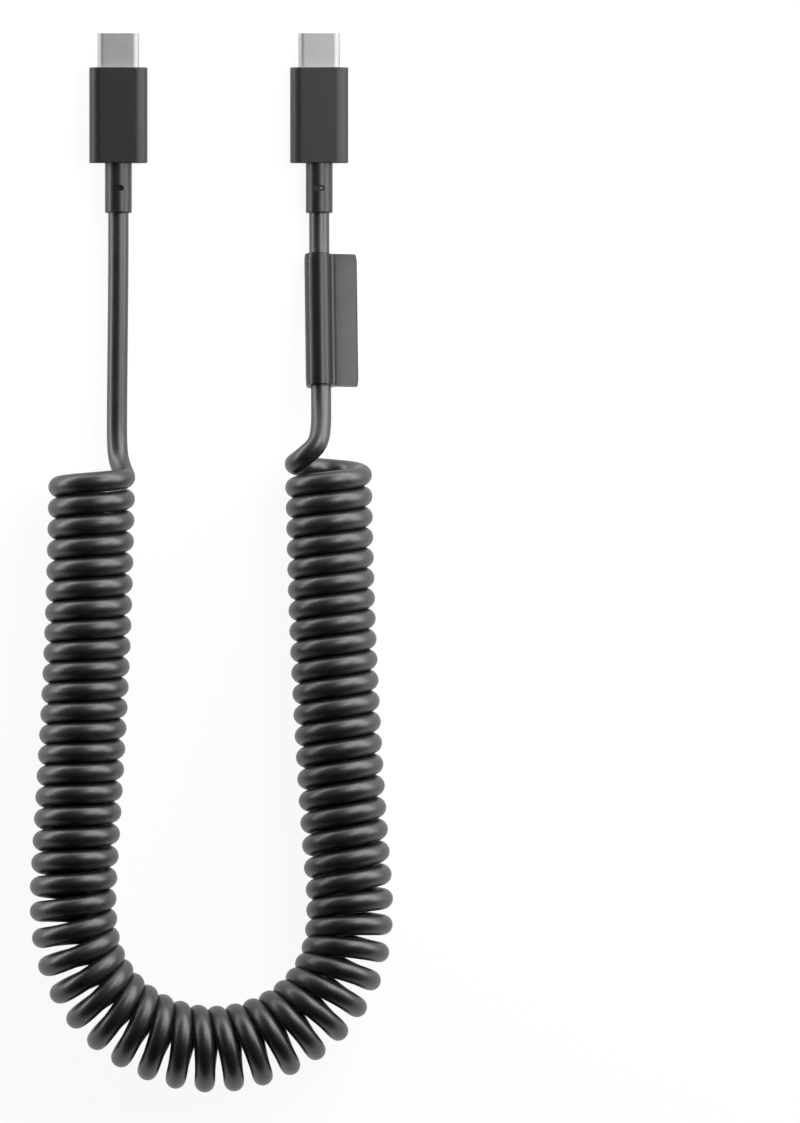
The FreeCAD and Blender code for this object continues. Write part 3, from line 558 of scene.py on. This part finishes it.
sweep = ShapeTree("folded_tag", {"Start": "NodeSocketVector", "End": "NodeSocketVector",
                                 "Across": "NodeSocketVector", "Length": "NodeSocketFloat",
                                 "Lip": "NodeSocketFloat", "Lip Length": "NodeSocketFloat",
                                 "Material": "NodeSocketMaterial"})
profile = sweep.node("GeometryNodeMeshToCurve", None, {"Mesh": sweep.input("Geometry")})
line = sweep.node("GeometryNodeCurvePrimitiveLine", None,
                  {"Start": sweep.input("Start"), "End": sweep.input("End")})
line = sweep.node("GeometryNodeResampleCurve", None, {"Curve": line, "Count": TAG_RINGS})
part_way = sweep.node("GeometryNodeSplineParameter")
crowded = part_way * part_way * (3 - 2 * part_way)
spot = sweep.node("ShaderNodeMix", {"data_type": "VECTOR"},
                  {0: crowded, 4: sweep.input("Start"), 5: sweep.input("End")}, 1)
line = sweep.node("GeometryNodeSetPosition", None, {"Geometry": line, "Position": spot})
line = sweep.node("GeometryNodeSetCurveNormal", {"mode": "FREE"},
                  {"Curve": line, "Normal": sweep.input("Across")})
to_end = crowded.at_most(1 - crowded) * sweep.input("Length") / sweep.input("Lip Length")
off_end = 1 - to_end.at_most(1.0)
drawn_in = 1 - sweep.input("Lip") * (1 - (1 - off_end * off_end) ** 0.5)
strip = sweep.node("GeometryNodeCurveToMesh", None,
                   {"Curve": line, "Profile Curve": profile, "Scale": drawn_in, "Fill Caps": True})
strip = sweep.node("GeometryNodeRealizeInstances", None, {"Geometry": strip})
strip = sweep.node("GeometryNodeSetMaterial", None,
                   {"Geometry": strip, "Material": sweep.input("Material")})
sweep.node("NodeGroupOutput", None, {"Geometry": strip})

loop = bpy.data.meshes.new("tag_outline")
corners = [(x * MM, y * MM, 0) for x, y in outline]
loop.from_pydata(corners, [(k, (k + 1) % len(corners)) for k in range(len(corners))], [])
corner, tag_run_end = metres([RIGHT_LEAD[1], RIGHT_LEAD[4]])
along = (tag_run_end - corner).normalized()
tag_start = corner + along * TAG_FROM_CORNER
tag = sweep.shape("folded_tag", loop, {
    "Start": tag_start, "End": tag_start + along * TAG_LENGTH,
    "Across": UP.cross(along).normalized(), "Length": TAG_LENGTH,
    "Lip": TAG_LIP, "Lip Length": LIP_LENGTH, "Material": tag_vinyl})
tag.data.shade_smooth()
tag.data.set_sharp_from_angle(angle=TAG_CREASE)
print(f"tag: {len(tag.data.polygons)} faces")

# %% [markdown]
# The woven screen
#
# Under the jacket a screen of flat bundles of wire is braided over the cores: half of the bundles
# wind one way, half the other, and each goes over one and under the next. That is a rule, so a
# Geometry Nodes tree copies one line for every bundle and bends each copy to a helix whose radius
# swings in step with the crossings.

# %% Braid
BUNDLES = 10
BUNDLE_POINTS = 90
BUNDLE_WIDTH = 0.42 * MM
BUNDLE_THICKNESS = 0.11 * MM
LAY = 9.0 * MM
CORES_INSET = 1.6
COPPER = (0.72, 0.42, 0.28, 1)
TINNED_COPPER = (0.70, 0.60, 0.52, 1)


def centre_of(name):
    """The middle of a CAD node's box."""
    low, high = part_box(name)
    return (low + high) / 2


SIDES = {side: centre_of(f"{side}_housing").x for side in ("left", "right")}
PLUG_LEVEL = centre_of("left_housing").z

braid = ShapeTree("woven_screen", {"Length": "NodeSocketFloat", "Radius": "NodeSocketFloat",
                                   "Lay": "NodeSocketFloat", "Bundles": "NodeSocketInt",
                                   "Width": "NodeSocketFloat", "Thickness": "NodeSocketFloat",
                                   "Place": "NodeSocketVector", "Material": "NodeSocketMaterial"})
end = braid.node("ShaderNodeCombineXYZ", None, {"Y": braid.input("Length")})
middle = braid.node("GeometryNodeCurvePrimitiveLine", None, {"End": end})
bundle = braid.node("GeometryNodeResampleCurve", None, {"Curve": middle, "Count": BUNDLE_POINTS})
copies = braid.node("GeometryNodeDuplicateElements", {"domain": "SPLINE"},
                    {"Geometry": bundle, "Amount": braid.input("Bundles") * 2})
number = copies.output("Duplicate Index")
which_way = 1 - 2 * (number % 2)
place_round = (number - number % 2) / 2 / braid.input("Bundles")
height = braid.node("GeometryNodeSplineParameter") * braid.input("Length")
turn = height / braid.input("Lay")
angle = (which_way * turn + place_round) * math.tau
crossing = turn * braid.input("Bundles") * math.tau
swing = which_way * crossing.maths("COSINE", crossing, 0) * braid.input("Thickness") / 2
out = braid.input("Radius") - braid.input("Thickness") + swing
outward_x = angle.maths("COSINE", angle, 0)
outward_z = angle.maths("SINE", angle, 0)
spot = braid.node("ShaderNodeCombineXYZ", None,
                  {"X": outward_x * out, "Y": height, "Z": outward_z * out})
outward = braid.node("ShaderNodeCombineXYZ", None, {"X": outward_x, "Z": outward_z})
wound = braid.node("GeometryNodeSetPosition", None, {"Geometry": copies, "Position": spot})
wound = braid.node("GeometryNodeSetCurveNormal", {"mode": "FREE"},
                   {"Curve": wound, "Normal": outward})
section = braid.node("GeometryNodeCurvePrimitiveCircle", None, {"Resolution": 8, "Radius": 0.5})
flat = braid.node("ShaderNodeCombineXYZ", None,
                  {"X": braid.input("Thickness"), "Y": braid.input("Width"), "Z": 1.0})
section = braid.node("GeometryNodeTransform", None, {"Geometry": section, "Scale": flat})
woven = braid.node("GeometryNodeCurveToMesh", None,
                   {"Curve": wound, "Profile Curve": section, "Fill Caps": True})
cores_radius = braid.input("Radius") - braid.input("Thickness") * CORES_INSET
cores_round = braid.node("GeometryNodeCurvePrimitiveCircle", None,
                         {"Resolution": 32, "Radius": cores_radius})
cores = braid.node("GeometryNodeCurveToMesh", None,
                   {"Curve": middle, "Profile Curve": cores_round, "Fill Caps": True})
both = braid.node("GeometryNodeJoinGeometry", None, {"Geometry": [woven, cores]})
both = braid.node("GeometryNodeTransform", None,
                  {"Geometry": both, "Translation": braid.input("Place")})
both = braid.node("GeometryNodeRealizeInstances", None, {"Geometry": both})
both = braid.node("GeometryNodeSetMaterial", None,
                  {"Geometry": both, "Material": braid.input("Material")})
braid.node("NodeGroupOutput", None, {"Geometry": both})


def make_screen_wire():
    finish = Finish("screen_wire")
    hairs = finish.grain(0.05 * MM, (1, 6, 1))
    dull = finish.grain(0.9 * MM)
    colour = finish.mix(finish.share(dull, 0.35, 0.65), COPPER, TINNED_COPPER)
    return finish.surface(colour, 0.26 + 0.14 * hairs, hairs, 0.012 * MM, Metallic=1.0)


screen_wire = make_screen_wire()
screens = {}
for side, axis_x in SIDES.items():
    low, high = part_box(f"{side}_braided_core")
    screen = braid.shape(f"{side}_screen", bpy.data.meshes.new("empty"), {
        "Length": high.y - low.y, "Radius": (high.x - low.x) / 2, "Lay": LAY, "Bundles": BUNDLES,
        "Width": BUNDLE_WIDTH, "Thickness": BUNDLE_THICKNESS,
        "Place": Vector((axis_x, low.y, PLUG_LEVEL)), "Material": screen_wire})
    screen.data.shade_smooth()
    screens[side] = screen
    print(f"{side} screen: {len(screen.data.polygons)} faces")

# %% [markdown]
# Metals
#
# The plug's mouth is drawn steel with a satin nickel plating. Sockets have rubbed fine scratches
# along it, most of them near the rim. The contacts are gold where they touch and tinned where they
# are soldered. Springs are rolled strip, and the can round the joint is tin plate, whose crystals
# show as faint cells.

# %% Metal finishes
MOUTH_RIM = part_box("left_plug_shell")[1].y
RUBBED_LENGTH = 4.5 * MM
GOLD_FROM, GOLD_TO = 96.0 * MM, 96.8 * MM
CRYSTALS_PER_METRE = 1100.0


def make_plated_steel():
    finish = Finish("satin_nickel")
    scratches = finish.grain(0.03 * MM, (1, 60, 1))
    cloud = finish.grain(1.6 * MM)
    near_rim = finish.share(finish.y, MOUTH_RIM - RUBBED_LENGTH, MOUTH_RIM)
    rubbed = near_rim * finish.share(scratches, 0.52, 0.7)
    colour = finish.mix(cloud, grey(0.405, 0.008), grey(0.455, 0.012))
    colour = finish.mix(0.4 * rubbed, colour, grey(0.56, 0.02))
    roughness = 0.54 + 0.06 * cloud + 0.08 * scratches
    return finish.surface(colour, roughness, scratches, 0.002 * MM, Metallic=1.0)


def make_gold_contact():
    finish = Finish("gold_and_tin")
    plated = finish.share(finish.y, GOLD_FROM, GOLD_TO)
    wipe = finish.grain(0.02 * MM, (1, 30, 1))
    colour = finish.mix(plated, grey(0.66, 0.01), (0.86, 0.60, 0.24, 1))
    return finish.surface(colour, 0.18 + 0.14 * wipe, wipe, 0.001 * MM, Metallic=1.0)


def make_spring_steel():
    finish = Finish("rolled_strip")
    rolled = finish.grain(0.025 * MM, (1, 45, 1))
    stain = finish.grain(1.1 * MM)
    colour = finish.mix(stain, grey(0.50, 0.02), grey(0.60, 0.0))
    return finish.surface(colour, 0.26 + 0.12 * rolled, rolled, 0.0015 * MM, Metallic=1.0)


def make_tinned_can():
    finish = Finish("tin_plate")
    cells = finish.node("ShaderNodeTexVoronoi", None,
                        {"Vector": finish.place, "Scale": CRYSTALS_PER_METRE}, "Color")
    crystal = finish.node("ShaderNodeSeparateXYZ", None, {"Vector": cells}, "X")
    drawn = finish.grain(0.05 * MM, (1, 30, 1))
    colour = finish.mix(crystal, grey(0.58, 0.015), grey(0.70, 0.01))
    roughness = 0.30 + 0.12 * crystal + 0.05 * drawn
    return finish.surface(colour, roughness, drawn, 0.002 * MM, Metallic=1.0)


metals = {"plug_shell": make_plated_steel(), "upper_contacts": make_gold_contact(),
          "latch_plate": make_spring_steel(), "shield_can": make_tinned_can()}
metals["lower_contacts"] = metals["upper_contacts"]
metals["ground_springs"] = metals["latch_plate"]
print("metal finishes:", ", ".join(sorted({material.name for material in metals.values()})))

# %% [markdown]
# Plastics and the small card
#
# The insulator in the mouth is a stiff black polymer with flow lines. The block round the can is
# milky polyethylene. The card carries gold pads at the pitch of the contacts, and its green mask
# shows the glass weave under it. Five wires are told apart by their colours, and the little
# ceramic parts have tinned ends. All of these find their pattern by where they lie.

# %% Plastic and card finishes
CONTACT_PITCH = 0.5 * MM
CARD_REAR, CARD_FRONT = (corner.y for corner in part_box("left_paddle_card"))
PAD_LENGTH = 1.5 * MM
PAD_HALF_WIDTH = 0.15 * MM
WIRE_PITCH = 1.0 * MM
WIRE_GAP = 0.12 * MM
WIRE_PADS_REACH = 1.4 * MM
WIRE_LAP = 1.2 * MM
SIGNAL_STEP = 0.35 * MM
GLASS_WEAVE = 0.42 * MM
CHIP_DOT = (-0.58 * MM, 92.58 * MM)


def make_insulator():
    finish = Finish("stiff_polymer")
    flow = finish.grain(0.09 * MM, (1, 14, 1), 3.0)
    colour = finish.mix(flow, grey(0.010), grey(0.022))
    return finish.surface(colour, 0.42 + 0.16 * flow, flow, 0.004 * MM, IOR=1.6)


def make_natural_mould():
    finish = Finish("milky_block")
    flow = finish.grain(2.4 * MM, (1, 2.5, 1), 3.0)
    skin = finish.grain(0.14 * MM)
    colour = finish.mix(flow, (0.62, 0.61, 0.56, 1), (0.76, 0.75, 0.71, 1))
    return finish.surface(colour, 0.38 + 0.10 * skin, skin, 0.008 * MM, IOR=1.51)


def make_card(side):
    finish = Finish(f"{side}_card_mask")
    across = finish.x - SIDES[side]
    weave_x = finish.x * (math.tau / GLASS_WEAVE)
    weave_y = finish.y * (math.tau / GLASS_WEAVE)
    weave = weave_x.maths("SINE", weave_x, 0) * weave_y.maths("SINE", weave_y, 0)
    from_pad = abs(across % CONTACT_PITCH - CONTACT_PITCH / 2)
    front_pads = (from_pad < PAD_HALF_WIDTH) * (finish.y > CARD_FRONT - PAD_LENGTH)
    rear_pads = (abs(across) % WIRE_PITCH > WIRE_GAP) * (finish.y < CARD_REAR + WIRE_LAP)
    pads = front_pads.at_least(rear_pads * (abs(across) < WIRE_PADS_REACH))
    mask = finish.mix(0.5 + 0.3 * weave, (0.008, 0.075, 0.028, 1), (0.016, 0.125, 0.05, 1))
    colour = finish.mix(pads, mask, (0.83, 0.60, 0.28, 1))
    height = 0.5 * weave + pads
    return finish.surface(colour, 0.30 + 0.06 * weave, height, 0.010 * MM, Metallic=pads)


def make_wires(side):
    finish = Finish(f"{side}_wire_colours")
    across = finish.x - SIDES[side]
    streak = finish.grain(0.08 * MM, (1, 20, 1))
    power = finish.mix(across > 0.0, (0.016, 0.016, 0.017, 1), (0.50, 0.018, 0.014, 1))
    signal = finish.mix(across > SIGNAL_STEP, (0.62, 0.61, 0.58, 1), (0.012, 0.20, 0.05, 1))
    signal = finish.mix(across < -SIGNAL_STEP, signal, (0.015, 0.06, 0.34, 1))
    colour = finish.mix(finish.z > PLUG_LEVEL, signal, power)
    colour = finish.mix(0.18 * streak, colour, grey(0.6))
    return finish.surface(colour, 0.34 + 0.12 * streak, streak, 0.004 * MM)


def make_capacitors():
    finish = Finish("fired_ceramic")
    fired = finish.grain(0.06 * MM, detail=3.0)
    middle_y = centre_of("left_card_capacitors").y
    cap = finish.share(abs(finish.y - middle_y), 0.28 * MM, 0.32 * MM)
    body = finish.mix(fired, (0.33, 0.20, 0.10, 1), (0.46, 0.30, 0.17, 1))
    colour = finish.mix(cap, body, grey(0.66, 0.01))
    return finish.surface(colour, 0.50 - 0.18 * cap, fired, 0.004 * MM, Metallic=cap)


def make_chip(side):
    finish = Finish("chip_resin")
    resin = finish.grain(0.05 * MM, detail=3.0)
    dot_x = finish.x - (SIDES[side] + CHIP_DOT[0])
    dot_y = finish.y - CHIP_DOT[1]
    dot = finish.share((dot_x * dot_x + dot_y * dot_y) ** 0.5, 0.13 * MM, 0.11 * MM)
    colour = finish.mix(resin, grey(0.012), grey(0.026))
    colour = finish.mix(0.7 * dot, colour, grey(0.16))
    return finish.surface(colour, 0.52 + 0.14 * resin, resin - dot, 0.006 * MM)


def make_jacket_end():
    finish = Finish("jacket_end")
    lines = finish.grain(0.10 * MM, (1, 25, 1))
    bloom = finish.grain(2.2 * MM, detail=3.0)
    colour = finish.mix(finish.share(bloom, 0.35, 0.7), grey(0.017), grey(0.026, -0.02))
    return finish.surface(colour, 0.32 + 0.08 * bloom + 0.04 * lines, lines, 0.008 * MM, IOR=1.5)


shared = {"insulator": make_insulator(), "inner_mould": make_natural_mould(),
          "card_capacitors": make_capacitors(), "jacket_end": make_jacket_end(),
          "housing": housing_plastic, "boot": boot_rubber, **metals}
print(f"{len(shared)} finishes shared by both plugs")


# %% Dress the plugs
def dress(name, material):
    """Gives a CAD node its finish."""
    for slot in nodes[name].material_slots:
        slot.material = material


for side in SIDES:
    for piece, material in shared.items():
        dress(f"{side}_{piece}", material)
    dress(f"{side}_paddle_card", make_card(side))
    dress(f"{side}_wires", make_wires(side))
    dress(f"{side}_braided_core", screen_wire)
dress("left_marker_chip", make_chip("left"))
for name in ("left_lead", "right_lead", "coil", "cable_tag"):
    dress(name, tag_vinyl if name == "cable_tag" else shared["jacket_end"])
cord.data.materials.append(jacket)
print(f"{len(nodes)} nodes dressed")

# %% [markdown]
# Floor and light
#
# The cable lies on a white table that turns up at its far rim, as a studio's cove does, so no
# horizon shows. The camera and the reflections see the same table: nearly white, with the cable's
# soft shadow on it, and plain white farther away. Close, low softboxes suit a satin cord: a broad
# one behind on the right, a strip along the left, a small one at the back and a panel above the
# right side leave a dark band along every strand, and their nearness makes the light fall off from
# the plugs to the bend.

# %% Floor
FLOOR_COLOUR = 0.8
SEEN_GLOW = 0.93
SEEN_SHADE = 0.12
WHITE_NEAR, WHITE_FAR = 130 * MM, 300 * MM
COVE = [(5.2, 0.0), (5.6, 0.04), (5.9, 0.16), (6.0, 0.40), (6.0, 0.80)]
COVE_SIDES = 64


def make_floor_paint():
    finish = Finish("white_table")
    rays = finish.node("ShaderNodeLightPath", output="Is Camera Ray")
    mirrored_ray = rays.output("Is Glossy Ray").at_least(rays.output("Is Transmission Ray"))
    fleck = finish.grain(6 * MM)
    paint = finish.mix(fleck, grey(FLOOR_COLOUR), grey(FLOOR_COLOUR + 0.02))
    plain = finish.node("ShaderNodeBsdfDiffuse", None, {"Color": paint})

    near = finish.share((finish.x * finish.x + finish.y * finish.y) ** 0.5, WHITE_FAR, WHITE_NEAR)

    shine = finish.node("ShaderNodeEmission", None,
                        {"Color": finish.mix(near, grey(1.0), grey(SEEN_GLOW))})
    matt = finish.node("ShaderNodeBsdfDiffuse", None,
                       {"Color": finish.mix(near, grey(0.0), grey(SEEN_SHADE))})
    white = finish.node("ShaderNodeAddShader", None, {0: shine, 1: matt})
    shown = rays.at_least(mirrored_ray)
    shader = finish.node("ShaderNodeMixShader", None, {0: shown, 1: plain, 2: white})
    finish.node("ShaderNodeOutputMaterial", None, {"Surface": shader})
    return finish.material


def rim_points(radius, height):
    """A ring of points about the middle of the table."""
    angles = [math.tau * k / COVE_SIDES for k in range(COVE_SIDES)]
    return [(radius * math.cos(angle), radius * math.sin(angle), height) for angle in angles]


floor_points = [point for radius, height in COVE for point in rim_points(radius, height)]
floor_faces = [tuple(range(COVE_SIDES))]
for ring in range(len(COVE) - 1):
    for k in range(COVE_SIDES):
        a, b = ring * COVE_SIDES + k, ring * COVE_SIDES + (k + 1) % COVE_SIDES
        floor_faces.append((a, a + COVE_SIDES, b + COVE_SIDES, b))
floor_mesh = bpy.data.meshes.new("floor")
floor_mesh.from_pydata(floor_points, [], floor_faces)
floor_mesh.materials.append(make_floor_paint())
floor = bpy.data.objects.new("floor", floor_mesh)
scene.collection.objects.link(floor)
print(f"floor {2 * COVE[-1][0]:.0f} m wide")

# %% Lamps and room
ROOM_LEVEL = 0.02
TABLE_MIDDLE = (0, 0.02, 0)


def softbox(name, place, aim, width, height, level):
    """A rectangular lamp that faces a point, of a brightness where 1 is white."""
    data = bpy.data.lights.new(name, "AREA")
    data.shape = "RECTANGLE"
    data.size = width
    data.size_y = height
    data.energy = 4 * width * height * level
    lamp = bpy.data.objects.new(name, data)
    lamp.location = place
    lamp.rotation_euler = (Vector(aim) - lamp.location).to_track_quat("-Z", "Y").to_euler()
    lamp.visible_camera = False
    scene.collection.objects.link(lamp)


softbox("key", place=(0.30, 0.246, 0.133), aim=(0.024, 0.014, -0.032),
        width=0.68, height=0.22, level=4.1)
softbox("left_strip", place=(-0.318, 0.189, 0.05), aim=TABLE_MIDDLE,
        width=0.50, height=0.09, level=5.8)
softbox("back_fill", place=(-0.063, 0.375, 0.13), aim=TABLE_MIDDLE,
        width=0.20, height=0.12, level=2.3)
softbox("canopy", place=(0.133, 0.126, 0.22), aim=(0.133, 0.126, 0.0),
        width=0.115, height=0.168, level=5.6)
room = bpy.data.worlds.new("room")
room.use_nodes = True
scene.world = room
sky = Tree(room.node_tree)
dim = sky.node("ShaderNodeBackground", None, {"Color": grey(1.0), "Strength": ROOM_LEVEL})
sky.node("ShaderNodeOutputWorld", None, {"Surface": dim})
print(f"{len(bpy.data.lights)} softboxes, room at {ROOM_LEVEL}")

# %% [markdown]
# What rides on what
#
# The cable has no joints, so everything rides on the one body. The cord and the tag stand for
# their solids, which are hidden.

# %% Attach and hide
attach(cord, BODY)
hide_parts("left_lead", "coil", "right_lead")
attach(tag, BODY)
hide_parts("cable_tag")
for side, screen in screens.items():
    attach(screen, BODY)
    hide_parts(f"{side}_braided_core")
